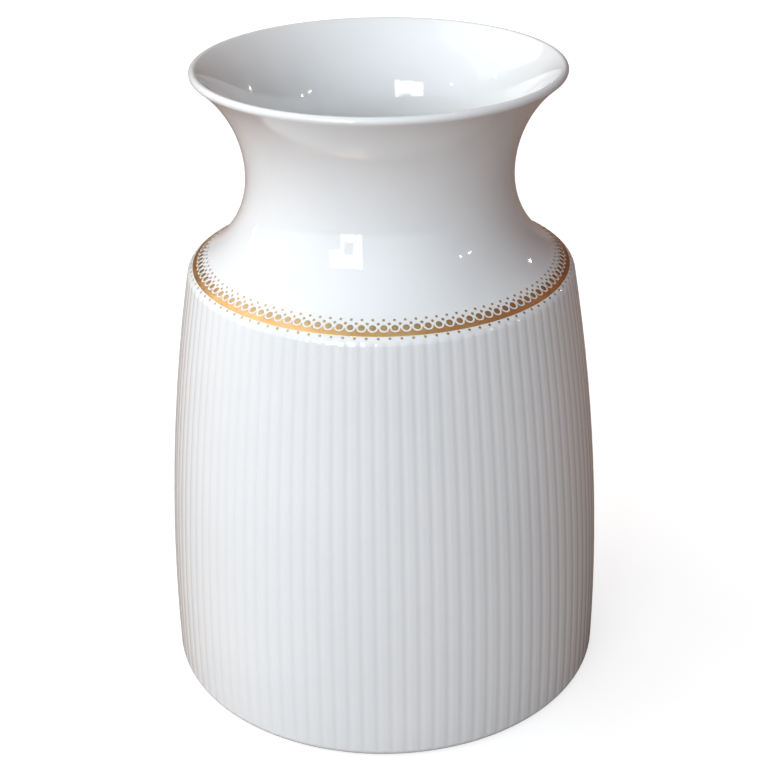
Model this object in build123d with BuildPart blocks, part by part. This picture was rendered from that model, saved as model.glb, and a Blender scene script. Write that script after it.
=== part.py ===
from build123d import *
import math
import os

# Porcelain vase, slip-cast in one piece: a tall ribbed body, a smooth sloping shoulder,
# a drawn-in neck and a wide trumpet lip, glazed all over but for the foot ring. Fired on
# top of the glaze is an ornament of bright gold round the foot of the shoulder: one line
# with a scalloped upper edge and four rows of dots.
# Millimetres. Z is the turning axis, the vase stands on Z = 0, the origin is the centre
# of its foot.

# ---- driving dimensions ----
height = 200.0

# ribbed body: the wall is one long shallow arc
belly_radius = 71.0         # largest radius of the wall
belly_height = 14.0         # where the wall stands upright
wall_bow = 690.0            # radius of the wall's arc
base_round = 3.0            # rounding between wall and foot
foot_inner_radius = 64.2    # bare ring that the vase stands on
foot_inner_slope = 1.7      # radial run of the ring's inner side
recess_edge = 1.5           # underside, height beside the ring
recess_centre = 2.3         # underside, height at the centre

# shoulder and neck
shoulder_slope = 32.5       # degrees below level
shoulder_round = 3.5        # rounding between shoulder and wall
waist_radius = 40.8         # narrowest outer radius of the neck
waist_height = 167.1
neck_low_radius = 32.4      # arc from shoulder to waist
neck_high_radius = 39.7     # arc from waist to lip
lip_round = 1.26            # half the lip's thickness

# inside
inner_shoulder = (57.2, 135.85)
inner_shoulder_round = 6.0
inner_belly = (65.4, 70.0)
inner_base_radius = 66.8
floor_height = 6.0
floor_round = 9.0

# ribs: what is left between shallow round-bottomed grooves, which run out over the
# roundings of shoulder and base
rib_count = 102
rib_turn = -0.5             # degrees
groove_width = 2.7
groove_depth = 0.14

# gold: places are distances up the shoulder from the upper end of its rounding
gold_count = 112
gold_turn = 0.5             # degrees
gold_film = 0.06
dot_lift = 0.012            # keeps the flat dots clear of the hollow curve above the slope
line_low = 0.27
line_high = 3.05
large_place = 3.17
large_radius = 1.0
reserve_radius = 1.53       # bare ring kept round each large dot
mid_place = 4.50
mid_radius = 0.46
top_place = 5.73
top_radius = 0.42
low_place = -0.40           # on the rounding
low_radius = 0.42

# ---- derived points, as (radius, height) ----
slope = math.radians(shoulder_slope)
beta = 90.0 - shoulder_slope
neck_thickness = 2 * lip_round
low_centre = (waist_radius + neck_low_radius, waist_height)
high_centre = (waist_radius + neck_high_radius, waist_height)
lip_height = height - lip_round
lip_reach = neck_high_radius + lip_round
gamma = math.degrees(math.asin((lip_height - waist_height) / lip_reach))
lip_centre = (high_centre[0] - lip_reach * math.cos(math.radians(gamma)), lip_height)


def on_circle(centre, radius, angle):
    a = math.radians(angle)
    return (centre[0] + radius * math.cos(a), centre[1] + radius * math.sin(a))


slope_top = on_circle(low_centre, neck_low_radius, 180 + beta)
inner_slope_top = on_circle(low_centre, neck_low_radius + neck_thickness, 180 + beta)

# the corner where the shoulder slope meets the wall's arc, and the centre of its rounding
wall_centre = (belly_radius - wall_bow, belly_height)
run = (math.cos(slope), -math.sin(slope))
facing = (math.sin(slope), math.cos(slope))


def reach_wall(start, wall_radius):
    # the point where a line parallel to the slope meets a circle round the wall's centre
    away = (start[0] - wall_centre[0], start[1] - wall_centre[1])
    half_b = run[0] * away[0] + run[1] * away[1]
    rest_c = away[0] ** 2 + away[1] ** 2 - wall_radius ** 2
    reach = -half_b + math.sqrt(half_b ** 2 - rest_c)
    return (start[0] + reach * run[0], start[1] + reach * run[1])


shoulder = reach_wall(slope_top, wall_bow)
round_start = (slope_top[0] - shoulder_round * facing[0], slope_top[1] - shoulder_round * facing[1])
round_centre = reach_wall(round_start, wall_bow - shoulder_round)

wall_top_angle = math.degrees(math.asin((shoulder[1] - belly_height) / wall_bow))
wall_low_angle = math.degrees(math.asin(-belly_height / wall_bow))
wall_foot = on_circle(wall_centre, wall_bow, wall_low_angle)
ring_inside = (foot_inner_radius - foot_inner_slope, recess_edge)
floor_corner = (inner_base_radius, floor_height)

# ---- groove tool: a round rod bent along the wall's arc, longer than the wall ----
groove_radius = (groove_width ** 2 / 4 + groove_depth ** 2) / (2 * groove_depth)
groove_path = wall_bow + groove_radius - groove_depth
groove_start = math.degrees(math.asin((-6 - belly_height) / wall_bow))
groove_end = math.degrees(math.asin((142 - belly_height) / wall_bow))
start_radius, start_height = on_circle(wall_centre, groove_path, groove_start)
start_tilt = math.radians(groove_start)
groove_plane = Plane(
    origin=(start_radius, 0, start_height),
    x_dir=(0, 1, 0),
    z_dir=(-math.sin(start_tilt), 0, math.cos(start_tilt)),
)

with BuildPart() as groove:
    with BuildSketch(groove_plane):
        Circle(groove_radius)
    revolve(
        axis=Axis((wall_centre[0], 0, wall_centre[1]), (0, -1, 0)),
        revolution_arc=groove_end - groove_start,
    )

# ---- porcelain: foot ring, floor, ribbed wall, shoulder, neck and lip in one piece ----
with BuildPart() as porcelain_body:
    with BuildSketch(Plane.XZ) as section:
        with BuildLine():
            Line((0, recess_centre), ring_inside)
            Line(ring_inside, (foot_inner_radius, 0))
            Line((foot_inner_radius, 0), wall_foot)
            CenterArc(wall_centre, wall_bow, wall_low_angle, wall_top_angle - wall_low_angle)
            Line(shoulder, slope_top)
            CenterArc(low_centre, neck_low_radius, 180 + beta, -beta)
            CenterArc(high_centre, neck_high_radius, 180, -gamma)
            CenterArc(lip_centre, lip_round, -gamma, 180)
            CenterArc(high_centre, neck_high_radius + neck_thickness, 180 - gamma, gamma)
            CenterArc(low_centre, neck_low_radius + neck_thickness, 180, beta)
            Line(inner_slope_top, inner_shoulder)
            ThreePointArc(inner_shoulder, inner_belly, floor_corner)
            Line(floor_corner, (0, floor_height))
            Line((0, floor_height), (0, recess_centre))
        make_face()
        fillet(section.vertices().sort_by_distance(shoulder)[0], shoulder_round)
        fillet(section.vertices().sort_by_distance(inner_shoulder)[0], inner_shoulder_round)
        fillet(section.vertices().sort_by_distance(wall_foot)[0], base_round)
        fillet(section.vertices().sort_by_distance(floor_corner)[0], floor_round)
        fillet(section.vertices().sort_by_distance((foot_inner_radius, 0))[0], 0.5)
        fillet(section.vertices().sort_by_distance(ring_inside)[0], 0.8)
    revolve(axis=Axis.Z)
    with PolarLocations(0, rib_count, start_angle=rib_turn):
        add(groove.part, mode=Mode.SUBTRACT)


# ---- gold fired on the glaze, as a film on the shoulder slope ----
slope_end = (
    round_centre[0] + shoulder_round * facing[0],
    round_centre[1] + shoulder_round * facing[1],
)
slope_length = (slope_end[0] - slope_top[0]) / run[0]


def on_slope(place, lift=0.0):
    # a point of the straight slope, raised off the glaze by lift
    radius = slope_end[0] - place * run[0] + lift * facing[0]
    level = slope_end[1] - place * run[1] + lift * facing[1]
    return (radius, level)


def glaze_plane(place, lift=0.0):
    # faces outwards at this place of the glaze: on the rounding, the slope or the arc above it
    if place < 0:
        angle = beta + math.degrees(place / shoulder_round)
        radius, level = on_circle(round_centre, shoulder_round, angle)
    elif place > slope_length:
        angle = beta - math.degrees((place - slope_length) / neck_low_radius)
        radius, level = on_circle(low_centre, neck_low_radius, 180 + angle)
    else:
        angle = beta
        radius, level = on_slope(place)
    tilt = math.radians(angle)
    origin = (radius + lift * math.cos(tilt), 0, level + lift * math.sin(tilt))
    return Plane(origin=origin, x_dir=(0, 1, 0), z_dir=(math.cos(tilt), 0, math.sin(tilt)))


# the line, its upper edge scalloped round the bare rings of the large dots
with BuildPart() as reserve:
    with BuildSketch(glaze_plane(large_place)):
        Circle(reserve_radius)
    extrude(amount=0.5, both=True)

with BuildPart() as gold_line:
    with BuildSketch(Plane.XZ):
        with BuildLine():
            Polyline(
                on_slope(line_low),
                on_slope(line_high),
                on_slope(line_high, gold_film),
                on_slope(line_low, gold_film),
                close=True,
            )
        make_face()
    revolve(axis=Axis.Z)
    with PolarLocations(0, gold_count, start_angle=gold_turn):
        add(reserve.part, mode=Mode.SUBTRACT)

# one dot of each row, a thin disc on the glaze
with BuildPart() as large_dot:
    with BuildSketch(glaze_plane(large_place, dot_lift)):
        Circle(large_radius)
    extrude(amount=gold_film)

with BuildPart() as mid_dot:
    with BuildSketch(glaze_plane(mid_place, dot_lift)):
        Circle(mid_radius)
    extrude(amount=gold_film)

with BuildPart() as top_dot:
    with BuildSketch(glaze_plane(top_place, dot_lift)):
        Circle(top_radius)
    extrude(amount=gold_film)

with BuildPart() as low_dot:
    with BuildSketch(glaze_plane(low_place)):
        Circle(low_radius)
    extrude(amount=gold_film)

# large and top dots stand in line with each other, middle and low dots half a step on
half_way = gold_turn + 180.0 / gold_count

with BuildPart() as gold_large_dots:
    with PolarLocations(0, gold_count, start_angle=gold_turn):
        add(large_dot.part)

with BuildPart() as gold_mid_dots:
    with PolarLocations(0, gold_count, start_angle=half_way):
        add(mid_dot.part)

with BuildPart() as gold_top_dots:
    with PolarLocations(0, gold_count, start_angle=gold_turn):
        add(top_dot.part)

with BuildPart() as gold_low_dots:
    with PolarLocations(0, gold_count, start_angle=half_way):
        add(low_dot.part)

# ---- write the pieces ----
porcelain_body.part.label = "porcelain_body"
gold_line.part.label = "gold_line"
gold_large_dots.part.label = "gold_large_dots"
gold_mid_dots.part.label = "gold_mid_dots"
gold_top_dots.part.label = "gold_top_dots"
gold_low_dots.part.label = "gold_low_dots"

os.makedirs("parts", exist_ok=True)
export_step(porcelain_body.part, "parts/porcelain_body.step")
export_step(gold_line.part, "parts/gold_line.step")
export_step(gold_large_dots.part, "parts/gold_large_dots.step")
export_step(gold_mid_dots.part, "parts/gold_mid_dots.step")
export_step(gold_top_dots.part, "parts/gold_top_dots.step")
export_step(gold_low_dots.part, "parts/gold_low_dots.step")
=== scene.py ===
import math
import random

import bpy
import numpy as np
from mathutils import Matrix, Vector


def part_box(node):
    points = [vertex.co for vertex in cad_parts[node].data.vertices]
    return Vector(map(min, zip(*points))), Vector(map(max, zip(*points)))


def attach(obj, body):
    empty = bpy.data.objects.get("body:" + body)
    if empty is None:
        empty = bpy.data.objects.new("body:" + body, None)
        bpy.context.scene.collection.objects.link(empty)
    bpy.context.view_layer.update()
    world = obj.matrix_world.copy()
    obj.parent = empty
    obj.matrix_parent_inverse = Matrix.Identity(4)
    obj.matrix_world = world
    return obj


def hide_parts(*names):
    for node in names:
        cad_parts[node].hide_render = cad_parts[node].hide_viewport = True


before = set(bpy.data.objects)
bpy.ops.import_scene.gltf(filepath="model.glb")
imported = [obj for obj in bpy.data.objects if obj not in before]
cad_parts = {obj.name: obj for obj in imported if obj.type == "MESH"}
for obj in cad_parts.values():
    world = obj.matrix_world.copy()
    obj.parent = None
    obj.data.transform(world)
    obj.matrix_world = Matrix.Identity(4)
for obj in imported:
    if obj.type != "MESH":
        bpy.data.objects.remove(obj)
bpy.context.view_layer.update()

# ---------------------------------------------------------------------------
# Dimensions of the vase, in metres. Heights are above the floor.
# ---------------------------------------------------------------------------
MM = 0.001
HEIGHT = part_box("porcelain_body")[1][2]

# ribbed body and foot: the wall is one long shallow arc
BELLY_RADIUS = 71.0 * MM
BELLY_HEIGHT = 14.0 * MM
WALL_BOW = 690.0 * MM        # radius of the wall's arc
BASE_ROUND = 3.0 * MM
FOOT_INNER_RADIUS = 64.2 * MM
FOOT_INNER_SLOPE = 1.7 * MM  # radial run of the foot ring's inner side
FOOT_EDGE_ROUND = 0.25 * MM
FOOT_BAND = 1.6 * MM         # outer part of the ring's flat face
RECESS_EDGE = 1.5 * MM
RECESS_CENTRE = 2.3 * MM

# shoulder, neck and lip
SLOPE = math.radians(32.5)
SHOULDER_ROUND = 3.5 * MM
WAIST_RADIUS = 40.8 * MM
WAIST_HEIGHT = 167.1 * MM
NECK_LOW_RADIUS = 32.4 * MM  # arc from shoulder to waist
NECK_HIGH_RADIUS = 39.7 * MM  # arc from waist to lip
LIP_ROUND = 1.26 * MM        # half the lip's thickness

# inside, as points (radius, height) and roundings
INNER_SHOULDER = (57.2 * MM, 135.85 * MM)
INNER_SHOULDER_ROUND = 6.0 * MM
INNER_BELLY = (65.4 * MM, 70.0 * MM)
INNER_BASE = (66.8 * MM, 6.0 * MM)
FLOOR_ROUND = 9.0 * MM

# ribs: what is left between shallow grooves
RIB_COUNT = 102
RIB_TURN = math.radians(-0.5)
GROOVE_SHARE = 0.70          # part of a rib's pitch that its groove takes
GROOVE_DEPTH = 0.12 * MM
FADE_START, FADE_END = 0.30, 0.72    # parts of the shoulder's rounding between which the grooves fade
GLAZE_END = 0.6 * MM         # below this height the foot ring is bare clay

# gold: places are distances up the shoulder from the upper end of its rounding
GOLD_COUNT = 112
GOLD_TURN = math.radians(0.5)
LINE_LOW, LINE_HIGH = 0.27 * MM, 3.05 * MM
LARGE_PLACE, LARGE_RADIUS = 3.17 * MM, 1.0 * MM
RESERVE_RADIUS = 1.47 * MM   # bare ring kept round each large dot
MID_PLACE, MID_RADIUS = 4.50 * MM, 0.46 * MM
TOP_PLACE, TOP_RADIUS = 5.73 * MM, 0.42 * MM
LOW_PLACE, LOW_RADIUS = -0.40 * MM, 0.42 * MM
FILM = 0.03 * MM             # how far the gold stands on the glaze
SUNK = 0.01 * MM             # how far its underside is set in

# ---------------------------------------------------------------------------
# The vase's section, as points (radius, height)
# ---------------------------------------------------------------------------


def on_circle(centre, radius, angle):
    return (centre[0] + radius * math.cos(angle), centre[1] + radius * math.sin(angle))


def arc(centre, radius, start, end, steps):
    return [on_circle(centre, radius, start + (end - start) * i / steps) for i in range(steps + 1)]


def straight(a, b, steps):
    shares = [i / steps for i in range(steps + 1)]
    return [(a[0] + (b[0] - a[0]) * share, a[1] + (b[1] - a[1]) * share) for share in shares]


def angle_at(centre, point):
    return math.atan2(point[1] - centre[1], point[0] - centre[0])


def reach_circle(start, run, centre, radius):
    """How far along run from start the line leaves the circle."""
    away = (start[0] - centre[0], start[1] - centre[1])
    half_b = run[0] * away[0] + run[1] * away[1]
    rest = away[0] ** 2 + away[1] ** 2 - radius ** 2
    return -half_b + math.sqrt(half_b ** 2 - rest)


def circle_through(a, b, c):
    """Centre and radius of the circle through three points."""
    d = 2 * (a[0] * (b[1] - c[1]) + b[0] * (c[1] - a[1]) + c[0] * (a[1] - b[1]))
    qa, qb, qc = (p[0] ** 2 + p[1] ** 2 for p in (a, b, c))
    x = (qa * (b[1] - c[1]) + qb * (c[1] - a[1]) + qc * (a[1] - b[1])) / d
    y = (qa * (c[0] - b[0]) + qb * (a[0] - c[0]) + qc * (b[0] - a[0])) / d
    return (x, y), math.hypot(a[0] - x, a[1] - y)


RUN = (math.cos(SLOPE), -math.sin(SLOPE))
FACING = (math.sin(SLOPE), math.cos(SLOPE))
SLOPE_ANGLE = 1.5 * math.pi - SLOPE
WALL_CENTRE = (BELLY_RADIUS - WALL_BOW, BELLY_HEIGHT)
LOW_CENTRE = (WAIST_RADIUS + NECK_LOW_RADIUS, WAIST_HEIGHT)
HIGH_CENTRE = (WAIST_RADIUS + NECK_HIGH_RADIUS, WAIST_HEIGHT)
THICKNESS = 2 * LIP_ROUND
LIP_HEIGHT = HEIGHT - LIP_ROUND
LIP_TURN = math.asin((LIP_HEIGHT - WAIST_HEIGHT) / (NECK_HIGH_RADIUS + LIP_ROUND))
LIP_CENTRE = on_circle(HIGH_CENTRE, NECK_HIGH_RADIUS + LIP_ROUND, math.pi - LIP_TURN)
SLOPE_TOP = on_circle(LOW_CENTRE, NECK_LOW_RADIUS, SLOPE_ANGLE)


def slope_round(slope_top, wall_centre, wall_radius, radius):
    """Centre of the rounding between the shoulder's slope and a wall's arc."""
    start = (slope_top[0] - radius * FACING[0], slope_top[1] - radius * FACING[1])
    t = reach_circle(start, RUN, wall_centre, wall_radius - radius)
    return (start[0] + t * RUN[0], start[1] + t * RUN[1])


ROUND_CENTRE = slope_round(SLOPE_TOP, WALL_CENTRE, WALL_BOW, SHOULDER_ROUND)


def level_round(level, wall_centre, wall_radius, radius):
    """Centre of the rounding between a level face and a wall's arc above it."""
    z = level + radius
    r = wall_centre[0] + math.sqrt((wall_radius - radius) ** 2 - (z - wall_centre[1]) ** 2)
    return (r, z)


def underside():
    """From the middle of the recess out to the foot ring's flat face."""
    ring_inside = (FOOT_INNER_RADIUS - FOOT_INNER_SLOPE, RECESS_EDGE)
    edge = (FOOT_INNER_RADIUS + FOOT_EDGE_ROUND, FOOT_EDGE_ROUND)
    points = straight((0, RECESS_CENTRE), ring_inside, 24)[1:]
    points += straight(ring_inside, (FOOT_INNER_RADIUS, FOOT_EDGE_ROUND), 6)[1:]
    points += arc(edge, FOOT_EDGE_ROUND, math.pi, 1.5 * math.pi, 4)[1:]
    return points


def outside():
    """From the foot ring up the wall, the shoulder and the neck, and round the lip."""
    base = level_round(0, WALL_CENTRE, WALL_BOW, BASE_ROUND)
    wall_low = angle_at(WALL_CENTRE, base)
    wall_high = angle_at(WALL_CENTRE, ROUND_CENTRE)
    foot = [(base[0] - FOOT_BAND, 0)]
    ribbed = arc(base, BASE_ROUND, -0.5 * math.pi, wall_low, 12)
    ribbed += arc(WALL_CENTRE, WALL_BOW, wall_low, wall_high, 14)[1:]
    ribbed += arc(ROUND_CENTRE, SHOULDER_ROUND, wall_high, 0.5 * math.pi - SLOPE, 16)[1:]
    smooth = straight(ribbed[-1], SLOPE_TOP, 12)[1:]
    smooth += arc(LOW_CENTRE, NECK_LOW_RADIUS, SLOPE_ANGLE, math.pi, 22)[1:]
    smooth += arc(HIGH_CENTRE, NECK_HIGH_RADIUS, math.pi, math.pi - LIP_TURN, 28)[1:]
    smooth += arc(LIP_CENTRE, LIP_ROUND, -LIP_TURN, math.pi - LIP_TURN, 14)[1:]
    return foot, ribbed, smooth


def inside():
    """From the lip down the inside of the neck, the shoulder and the wall to the middle of the floor."""
    centre, radius = circle_through(INNER_SHOULDER, INNER_BELLY, INNER_BASE)
    slope_top = on_circle(LOW_CENTRE, NECK_LOW_RADIUS + THICKNESS, SLOPE_ANGLE)
    shoulder = slope_round(slope_top, centre, radius, INNER_SHOULDER_ROUND)
    floor = level_round(INNER_BASE[1], centre, radius, FLOOR_ROUND)
    points = arc(HIGH_CENTRE, NECK_HIGH_RADIUS + THICKNESS, math.pi - LIP_TURN, math.pi, 28)[1:]
    points += arc(LOW_CENTRE, NECK_LOW_RADIUS + THICKNESS, math.pi, SLOPE_ANGLE, 16)[1:]
    points += arc(shoulder, INNER_SHOULDER_ROUND, 0.5 * math.pi - SLOPE, angle_at(centre, shoulder), 8)
    points += arc(centre, radius, angle_at(centre, shoulder), angle_at(centre, floor), 14)[1:]
    points += arc(floor, FLOOR_ROUND, angle_at(centre, floor), -0.5 * math.pi, 8)[1:]
    points += straight(points[-1], (0, INNER_BASE[1]), 10)[1:-1]
    return points


def groove_depth_at(point):
    """Depth of the grooves here: they fade over the shoulder's rounding and run out at the base's."""
    start = angle_at(WALL_CENTRE, ROUND_CENTRE)
    share = (angle_at(ROUND_CENTRE, point) - start) / (0.5 * math.pi - SLOPE - start)
    if point[1] > ROUND_CENTRE[1] and share > 0:
        fade = min(max((share - FADE_START) / (FADE_END - FADE_START), 0.0), 1.0)
        return GROOVE_DEPTH * (1 - fade * fade * (3 - 2 * fade))
    left = WALL_BOW - math.hypot(point[0] - WALL_CENTRE[0], point[1] - WALL_CENTRE[1])
    return max(0.0, GROOVE_DEPTH - left)


# ---------------------------------------------------------------------------
# Meshes
# ---------------------------------------------------------------------------
FINE = RIB_COUNT * 12        # points round a ribbed level
COARSE = RIB_COUNT * 2       # points round a smooth one


def new_piece(name, vertices, faces, material, slot, node):
    """An object that stands in for one CAD node and rides its body."""
    mesh = bpy.data.meshes.new(name)
    mesh.from_pydata([tuple(v) for v in vertices], [], faces)
    mesh.validate()
    piece = bpy.data.objects.new(name, mesh)
    bpy.context.scene.collection.objects.link(piece)
    mesh.materials.append(material)
    mesh.shade_smooth()
    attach(piece, "root")
    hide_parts(node)
    return piece


def ring(point, count, ribbed):
    """One level of the vase as a ring of points, with the grooves pressed in where ribbed."""
    angles = RIB_TURN + np.arange(count) * 2 * math.pi / count
    radius = np.full(count, point[0])
    level = np.full(count, point[1])
    groove = np.zeros(count)
    depth = groove_depth_at(point) if ribbed else 0.0
    if depth > 0:
        phase = np.mod((angles - RIB_TURN) * RIB_COUNT / (2 * math.pi) + 0.5, 1.0) - 0.5
        inside_groove = np.abs(phase) < GROOVE_SHARE / 2
        groove = np.where(inside_groove, 0.5 + 0.5 * np.cos(2 * math.pi * phase / GROOVE_SHARE), 0.0)
        radius = radius - depth * groove
    ring_points = np.stack([radius * np.cos(angles), radius * np.sin(angles), level], axis=1)
    return ring_points, groove * depth / GROOVE_DEPTH


def lathe():
    """Vertices, faces and the grooves' strength at each vertex, as one closed skin."""
    foot, ribbed, smooth = outside()
    rows = [(p, COARSE, False) for p in underside() + foot]
    rows += [(p, FINE, True) for p in ribbed]
    rows += [(p, COARSE, False) for p in smooth + inside()]
    vertices = [np.array([[0, 0, RECESS_CENTRE]])]
    grooves = [np.zeros(1)]
    faces = []
    start = 1
    for index, (point, count, is_ribbed) in enumerate(rows):
        points, groove = ring(point, count, is_ribbed)
        vertices.append(points)
        grooves.append(groove)
        if index == 0:
            faces += [(0, start + (i + 1) % count, start + i) for i in range(count)]
        else:
            faces += bridge(row_start, row_count, start, count)
        row_start, row_count = start, count
        start += count
    vertices.append(np.array([[0, 0, INNER_BASE[1]]]))
    grooves.append(np.zeros(1))
    faces += [(start, row_start + i, row_start + (i + 1) % row_count) for i in range(row_count)]
    return np.concatenate(vertices), faces, np.concatenate(grooves)


def bridge(low, low_count, high, high_count):
    """Faces between two rings. Where the counts differ, a face takes a whole step of the coarser one."""
    if low_count == high_count:
        n = low_count
        return [(low + i, low + (i + 1) % n, high + (i + 1) % n, high + i) for i in range(n)]
    faces = []
    few = min(low_count, high_count)
    ratio = max(low_count, high_count) // few
    for i in range(few):
        if low_count < high_count:
            fine = [high + (i * ratio + k) % high_count for k in range(ratio + 1)]
            faces.append((low + i, low + (i + 1) % few, *reversed(fine)))
        else:
            fine = [low + (i * ratio + k) % low_count for k in range(ratio + 1)]
            faces.append((*fine, high + (i + 1) % few, high + i))
    return faces


SLOPE_END = on_circle(ROUND_CENTRE, SHOULDER_ROUND, 0.5 * math.pi - SLOPE)
SLOPE_LENGTH = (SLOPE_END[0] - SLOPE_TOP[0]) / RUN[0]


def on_shoulder(place, lift):
    """Radius and height of a place on the shoulder's rounding, its slope or the arc above the slope."""
    if place < 0:
        angle = 0.5 * math.pi - SLOPE + place / SHOULDER_ROUND
        return on_circle(ROUND_CENTRE, SHOULDER_ROUND + lift, angle)
    if place > SLOPE_LENGTH:
        up = (place - SLOPE_LENGTH) / NECK_LOW_RADIUS
        return on_circle(LOW_CENTRE, NECK_LOW_RADIUS - lift, SLOPE_ANGLE - up)
    r, z = SLOPE_END
    return (r - place * RUN[0] + lift * FACING[0], z - place * RUN[1] + lift * FACING[1])


def shoulder_point(place, across, turn, lift):
    """A point of the shoulder: this place up it, and across sideways from the ray at angle turn."""
    radius, level = on_shoulder(place, lift)
    angle = turn + across / radius
    return (radius * math.cos(angle), radius * math.sin(angle), level)


def gold_line():
    """The line round the shoulder, closed, its upper edge scalloped round each large dot's bare ring."""
    steps = 28
    count = GOLD_COUNT * steps
    rows = (0.0, 0.05, 0.35, 0.7, 0.93, 1.0)
    vertices, faces = [], []
    dot_radius = on_shoulder(LARGE_PLACE, 0)[0]
    for i in range(count):
        turn = GOLD_TURN + 2 * math.pi * i / count
        phase = (i % steps) / steps
        sideways = min(phase, 1 - phase) * 2 * math.pi / GOLD_COUNT * dot_radius
        low_edge = LARGE_PLACE - math.sqrt(max(RESERVE_RADIUS ** 2 - sideways ** 2, 0.0))
        top = min(low_edge, LINE_HIGH)
        for k, share in enumerate(rows):
            lift = FILM * (0.45 if k in (0, len(rows) - 1) else 1.0)
            vertices.append(shoulder_point(LINE_LOW + (top - LINE_LOW) * share, 0, turn, lift))
        vertices.append(shoulder_point(top, 0, turn, -SUNK))
        vertices.append(shoulder_point(LINE_LOW, 0, turn, -SUNK))
    n = len(rows) + 2
    for i in range(count):
        j = (i + 1) % count
        for k in range(n):
            m = (k + 1) % n
            faces.append((i * n + k, j * n + k, j * n + m, i * n + m))
    return vertices, faces


def gold_dots(place, radius, offset, seed):
    """A ring of thin round dots that follow the glaze, soft at the edge and each a little different."""
    draw = random.Random(seed)
    spokes = 20
    vertices, faces = [], []
    for i in range(GOLD_COUNT):
        turn = GOLD_TURN + 2 * math.pi * (i + offset) / GOLD_COUNT
        size = radius * draw.uniform(0.96, 1.03)
        centre = place + draw.uniform(-0.02, 0.02) * MM
        side = draw.uniform(-0.02, 0.02) * MM
        start = len(vertices)
        for share, lift in ((1.0, -SUNK), (1.0, 0.4 * FILM), (0.9, 0.9 * FILM), (0.55, FILM)):
            for k in range(spokes):
                a = 2 * math.pi * k / spokes
                across = side + size * share * math.cos(a)
                vertices.append(shoulder_point(centre + size * share * math.sin(a), across, turn, lift))
        vertices.append(shoulder_point(centre, side, turn, FILM))
        vertices.append(shoulder_point(centre, side, turn, -SUNK))
        for level in range(3):
            for k in range(spokes):
                m = (k + 1) % spokes
                low = start + level * spokes
                faces.append((low + k, low + m, low + spokes + m, low + spokes + k))
        top = start + 3 * spokes
        for k in range(spokes):
            m = (k + 1) % spokes
            faces.append((top + k, top + m, start + 4 * spokes))
            faces.append((start + m, start + k, start + 4 * spokes + 1))
    return vertices, faces


# ---------------------------------------------------------------------------
# Materials
# ---------------------------------------------------------------------------


class Nodes:
    """A material and short calls to wire it."""

    def __init__(self, name):
        self.material = bpy.data.materials.new(name)
        self.material.use_nodes = True
        self.tree = self.material.node_tree
        self.shader = self.tree.nodes["Principled BSDF"]
        self.place = self.add("ShaderNodeTexCoord").outputs["Object"]

    def add(self, kind, **settings):
        node = self.tree.nodes.new(kind)
        for name, value in settings.items():
            setattr(node, name, value)
        return node

    def link(self, source, target):
        self.tree.links.new(source, target)

    def noise(self, scale, detail=2.0, rough=0.5):
        node = self.add("ShaderNodeTexNoise")
        node.inputs["Scale"].default_value = scale
        node.inputs["Detail"].default_value = detail
        node.inputs["Roughness"].default_value = rough
        self.link(self.place, node.inputs["Vector"])
        return node.outputs["Fac"]

    def span(self, value, low, high, to_low, to_high):
        node = self.add("ShaderNodeMapRange")
        node.inputs["From Min"].default_value = low
        node.inputs["From Max"].default_value = high
        node.inputs["To Min"].default_value = to_low
        node.inputs["To Max"].default_value = to_high
        self.link(value, node.inputs["Value"])
        return node.outputs["Result"]

    def mix(self, factor, a, b, blend="MIX"):
        node = self.add("ShaderNodeMix", data_type="RGBA", blend_type=blend)
        self.link(factor, node.inputs["Factor"])
        for socket, value in ((node.inputs["A"], a), (node.inputs["B"], b)):
            if isinstance(value, tuple):
                socket.default_value = (*value, 1.0)
            else:
                self.link(value, socket)
        return node.outputs["Result"]

    def bump(self, height, strength, distance, under=None):
        node = self.add("ShaderNodeBump")
        node.inputs["Strength"].default_value = strength
        node.inputs["Distance"].default_value = distance
        self.link(height, node.inputs["Height"])
        if under is not None:
            self.link(under, node.inputs["Normal"])
        return node.outputs["Normal"]

    def seen_directly(self, otherwise, directly, output):
        """Uses one shader where the camera looks straight at it and the other for all other light."""
        mix = self.add("ShaderNodeMixShader")
        self.link(self.add("ShaderNodeLightPath").outputs["Is Camera Ray"], mix.inputs["Fac"])
        self.link(otherwise, mix.inputs[1])
        self.link(directly, mix.inputs[2])
        self.link(mix.outputs["Shader"], output.inputs["Surface"])

    def set(self, **values):
        for name, value in values.items():
            socket = self.shader.inputs[name.replace("_", " ")]
            if isinstance(value, bpy.types.NodeSocket):
                self.link(value, socket)
            else:
                socket.default_value = value


def glaze_material():
    """Cool white glaze: glossy, with painted shade that makes it darker and cooler in the grooves, and with
    faint waves and specks.
    """
    m = Nodes("glaze")
    cloud = m.span(m.noise(22.0, 3.0), 0.35, 0.65, 0.0, 1.0)
    colour = m.mix(cloud, (0.787, 0.800, 0.806), (0.817, 0.828, 0.832))
    groove = m.add("ShaderNodeAttribute", attribute_name="groove").outputs["Fac"]
    # painted shade: the glaze colour is darker and cooler towards the bottom of each groove
    colour = m.mix(m.span(groove, 0.0, 1.0, 0.0, 0.2), colour, (0.67, 0.695, 0.715))
    speck = m.span(m.noise(950.0, 1.0), 0.83, 0.86, 0.0, 0.35)
    colour = m.mix(speck, colour, (0.42, 0.36, 0.30))
    wave = m.bump(m.noise(38.0, 2.0), 0.10, 0.9 * MM)
    peel = m.bump(m.noise(420.0, 2.0), 0.05, 0.05 * MM, wave)
    roughness = m.span(m.noise(60.0, 3.0), 0.3, 0.7, 0.045, 0.085)
    m.set(Base_Color=colour, Roughness=roughness, Normal=peel)
    m.set(Specular_IOR_Level=0.55, IOR=1.5, Coat_Weight=0.35, Coat_Roughness=0.03)
    m.set(Subsurface_Weight=0.08, Subsurface_Scale=0.002, Subsurface_Radius=(1.0, 0.85, 0.7))
    return m.material


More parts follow.
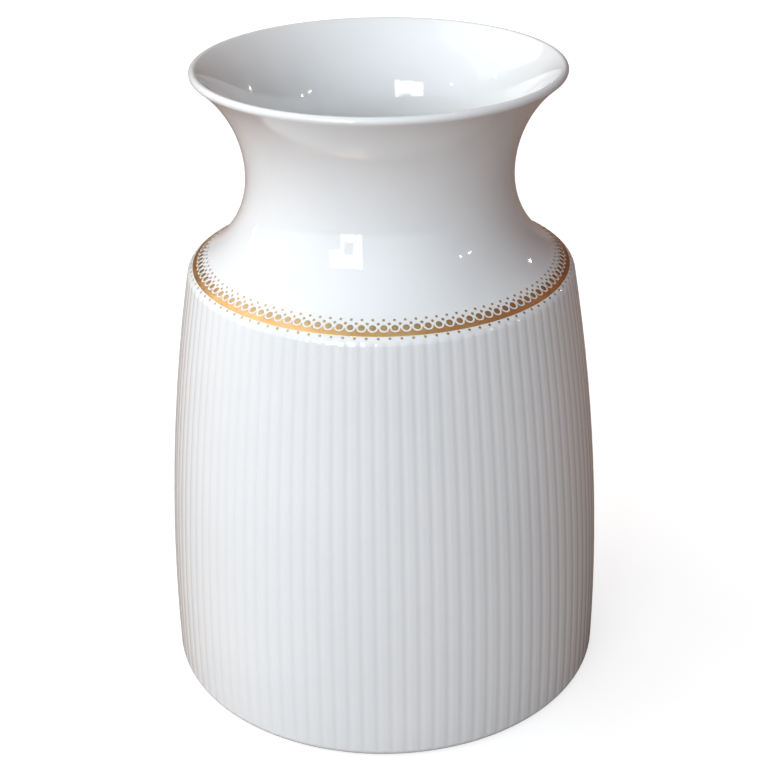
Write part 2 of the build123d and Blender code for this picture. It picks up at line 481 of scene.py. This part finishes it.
def clay_material():
    """Bare fired porcelain on the foot ring: matt, finely grained, a little soiled by use."""
    m = Nodes("bare_clay")
    soil = m.span(m.noise(260.0, 5.0, 0.65), 0.45, 0.75, 0.0, 1.0)
    colour = m.mix(soil, (0.74, 0.72, 0.68), (0.56, 0.52, 0.46))
    grain = m.bump(m.noise(2600.0, 4.0, 0.7), 0.35, 0.06 * MM)
    m.set(Base_Color=colour, Roughness=0.75, Normal=grain)
    return m.material


def gold_material(name, deep, bright):
    """Fired gold: satin, unevenly burnished, thinner and redder in patches."""
    m = Nodes(name)
    patch = m.span(m.noise(170.0, 3.0, 0.6), 0.35, 0.65, 0.0, 1.0)
    burnish = m.span(m.noise(800.0, 3.0, 0.6), 0.3, 0.7, 0.26, 0.44)
    m.set(Base_Color=m.mix(patch, deep, bright), Metallic=1.0, Roughness=burnish)
    m.set(Normal=m.bump(m.noise(1500.0, 2.0), 0.15, 0.02 * MM))
    return m.material


FLOOR_GLOW = 0.70            # lifts the floor towards white where it is seen directly
BACKDROP_GLOW = 0.86         # the same far away, where it meets the backdrop


def floor_material():
    """Pale where it is seen directly. In reflections and for the light it gives, darker and warm."""
    m = Nodes("pale_floor")
    tone = m.span(m.noise(3.0, 3.0), 0.3, 0.7, 0.0, 1.0)
    colour = m.mix(tone, (0.44, 0.44, 0.44), (0.46, 0.46, 0.46))
    m.set(Base_Color=colour, Roughness=0.9, Specular_IOR_Level=0.0)
    away = m.add("ShaderNodeVectorMath", operation="LENGTH")
    m.link(m.place, away.inputs[0])
    glow = m.span(away.outputs["Value"], 0.8, 4.0, FLOOR_GLOW, BACKDROP_GLOW)
    m.set(Emission_Color=(1.0, 1.0, 1.0, 1.0), Emission_Strength=glow)
    table = m.add("ShaderNodeBsdfDiffuse")
    table.inputs["Color"].default_value = (0.28, 0.20, 0.165, 1.0)
    m.seen_directly(table.outputs["BSDF"], m.shader.outputs["BSDF"], m.tree.nodes["Material Output"])
    return m.material


# ---------------------------------------------------------------------------
# The pieces
# ---------------------------------------------------------------------------
glaze = glaze_material()
clay = clay_material()
line_gold = gold_material("fired_gold", (0.85, 0.51, 0.215), (0.97, 0.655, 0.30))
dot_gold = gold_material("fired_gold_dots", (0.62, 0.44, 0.23), (0.74, 0.55, 0.30))

body_vertices, body_faces, body_grooves = lathe()
vase = new_piece("vase_porcelain", body_vertices, body_faces, glaze, "porcelain", "porcelain_body")
groove_mark = vase.data.attributes.new("groove", "FLOAT", "POINT")
groove_mark.data.foreach_set("value", body_grooves.astype(np.float32))
vase.data.materials.append(clay)
for polygon in vase.data.polygons:
    x, y, z = polygon.center
    if z < GLAZE_END and math.hypot(x, y) > FOOT_INNER_RADIUS - FOOT_INNER_SLOPE:
        polygon.material_index = 1

new_piece("gold_line_scalloped", *gold_line(), line_gold, "gold", "gold_line")
# large and top dots stand in line with each other, middle and low dots half a step on
for name, node, place, radius, offset, seed in (
    ("gold_dots_large", "gold_large_dots", LARGE_PLACE, LARGE_RADIUS, 0.0, 11),
    ("gold_dots_middle", "gold_mid_dots", MID_PLACE, MID_RADIUS, 0.5, 12),
    ("gold_dots_top", "gold_top_dots", TOP_PLACE, TOP_RADIUS, 0.0, 13),
    ("gold_dots_low", "gold_low_dots", LOW_PLACE, LOW_RADIUS, 0.5, 14),
):
    new_piece(name, *gold_dots(place, radius, offset, seed), dot_gold, "gold", node)

# ---------------------------------------------------------------------------
# Floor, light and camera
# ---------------------------------------------------------------------------
FLOOR_HALF = 6.0
floor_mesh = bpy.data.meshes.new("floor")
floor_corners = [(x * FLOOR_HALF, y * FLOOR_HALF, 0) for x, y in ((-1, -1), (1, -1), (1, 1), (-1, 1))]
floor_mesh.from_pydata(floor_corners, [], [(0, 1, 2, 3)])
floor_mesh.materials.append(floor_material())
floor = bpy.data.objects.new("floor", floor_mesh)
bpy.context.scene.collection.objects.link(floor)

ROOM_LIGHT = 1.02
ROOM_SIDE = Vector((-0.45, -0.84, 0.14))    # where most of the room's light comes from
ROOM_BRIGHT = (0.82, 0.93, 1.01, 1.0)
ROOM_DIM = (0.11, 0.047, 0.034, 1.0)
BACKDROP = (0.98, 0.98, 0.98, 1.0)


def studio_world():
    """Soft room light, cool from the front and left, dim and warm from the right and behind."""
    world = bpy.data.worlds.new("studio")
    world.use_nodes = True
    tree = world.node_tree
    room = tree.nodes["Background"]
    room.inputs["Strength"].default_value = ROOM_LIGHT
    towards = tree.nodes.new("ShaderNodeVectorMath")
    towards.operation = "DOT_PRODUCT"
    towards.inputs[1].default_value = ROOM_SIDE.normalized()
    tree.links.new(tree.nodes.new("ShaderNodeTexCoord").outputs["Generated"], towards.inputs[0])
    share = tree.nodes.new("ShaderNodeMapRange")
    share.interpolation_type = "SMOOTHSTEP"
    share.inputs["From Min"].default_value = -0.3
    share.inputs["From Max"].default_value = 0.9
    tree.links.new(towards.outputs["Value"], share.inputs["Value"])
    tint = tree.nodes.new("ShaderNodeMix")
    tint.data_type = "RGBA"
    tint.inputs["A"].default_value = ROOM_DIM
    tint.inputs["B"].default_value = ROOM_BRIGHT
    tree.links.new(share.outputs["Result"], tint.inputs["Factor"])
    tree.links.new(tint.outputs["Result"], room.inputs["Color"])
    pale = tree.nodes.new("ShaderNodeBackground")
    pale.inputs["Color"].default_value = BACKDROP
    mix = tree.nodes.new("ShaderNodeMixShader")
    tree.links.new(tree.nodes.new("ShaderNodeLightPath").outputs["Is Camera Ray"], mix.inputs["Fac"])
    tree.links.new(room.outputs["Background"], mix.inputs[1])
    tree.links.new(pale.outputs["Background"], mix.inputs[2])
    tree.links.new(mix.outputs["Shader"], tree.nodes["World Output"].inputs["Surface"])
    bpy.context.scene.world = world


def area_light(name, azimuth, elevation, distance, size, power, colour=(1, 1, 1)):
    """A rectangle of light facing the vase. Azimuth is in degrees, from 0 in front to 90 on the right."""
    light = bpy.data.lights.new(name, "AREA")
    light.shape = "RECTANGLE"
    light.size, light.size_y = size
    light.energy = power
    light.color = colour
    lamp = bpy.data.objects.new(name, light)
    a, e = math.radians(azimuth), math.radians(elevation)
    way = Vector((math.sin(a) * math.cos(e), -math.cos(a) * math.cos(e), math.sin(e)))
    lamp.location = MIDDLE + distance * way
    lamp.rotation_euler = way.to_track_quat("Z", "Y").to_euler()
    bpy.context.scene.collection.objects.link(lamp)
    return lamp


def window_pane(left, right, low, high):
    """A pane of the window, between these azimuths and elevations in degrees."""
    halves = ((right - left) / 2, (high - low) / 2)
    width, tall = (2 * WINDOW_AWAY * math.tan(math.radians(half)) for half in halves)
    power = math.pi * width * tall * WINDOW_GLARE
    azimuth, elevation = (left + right) / 2, (low + high) / 2
    area_light("window", azimuth, elevation, WINDOW_AWAY, (width, tall), power, (0.97, 1.0, 1.03))


MIDDLE = Vector((0, 0, 0.75 * HEIGHT))      # the point that every lamp faces
WINDOW_AWAY = 1.5
WINDOW_GLARE = 7.3
studio_world()
# broad soft lights. The key and the back light would show as bright squares in the glaze, so
# they are left out of its reflections
key = area_light("key", -86, 28, 1.6, (2.2, 1.5), 12.5, (1.0, 0.995, 0.985))
key.visible_glossy = False
area_light("ceiling", 0, 86, 1.3, (1.2, 1.2), 0.4, (1.0, 0.90, 0.72))
back = area_light("back", -168, 22, 1.6, (1.1, 1.1), 8.0, (0.95, 0.98, 1.0))
back.visible_glossy = False
area_light("left_behind", -122, 48, 1.5, (1.5, 1.3), 5.2, (1.0, 0.96, 0.88))
area_light("right_behind", 122, 52, 1.5, (1.2, 1.2), 0.7, (1.0, 0.78, 0.64))
# a narrow strip of light and a few small lamps of the room, seen as streaks and sparkles in the glaze
area_light("strip", -116, 5, 1.5, (0.07, 0.40), 0.6)
lamps = ((64, 20), (72, 17), (127, 16), (-98, 50), (-112, 24), (-128, 39), (-68, 24))
for azimuth, elevation in lamps:
    area_light("lamp", azimuth, elevation, 1.5, (0.045, 0.045), 0.2, (1.0, 0.95, 0.86))
# the window: a short pane on the left, a tall one on the right, and four round a dark square
window_pane(-40, -32.2, 12.5, 27.5)
window_pane(-31.5, -19.8, 17.2, 28.5)
window_pane(-18.9, -14.8, -1.7, 29.5)
window_pane(-31.5, -29.2, -1.7, 17.2)
window_pane(-20.8, -19.8, -1.7, 17.2)
window_pane(-29.2, -20.8, -1.7, 5.2)

# the camera stands in front and looks down on the vase
CAMERA_DISTANCE = 2.2535 * HEIGHT
CAMERA_HEIGHT = 1.6099 * HEIGHT
CAMERA_DIP = 0.45833         # radians below level
CAMERA_ROLL = -0.01345       # radians
CAMERA_LENS = 73.106         # millimetres, on a sensor 36 mm wide
camera_data = bpy.data.cameras.new("camera")
camera_data.sensor_width = 36.0
camera_data.lens = CAMERA_LENS
camera_data.shift_x = 0.0019
camera_data.shift_y = -0.0205
camera_data.clip_start = 0.01
camera = bpy.data.objects.new("camera", camera_data)
turn = Matrix.Rotation(math.pi / 2 - CAMERA_DIP, 4, "X") @ Matrix.Rotation(CAMERA_ROLL, 4, "Z")
camera.matrix_world = Matrix.Translation((0, -CAMERA_DISTANCE, CAMERA_HEIGHT)) @ turn
bpy.context.scene.collection.objects.link(camera)
bpy.context.scene.camera = camera
bpy.context.scene.view_settings.view_transform = "Standard"
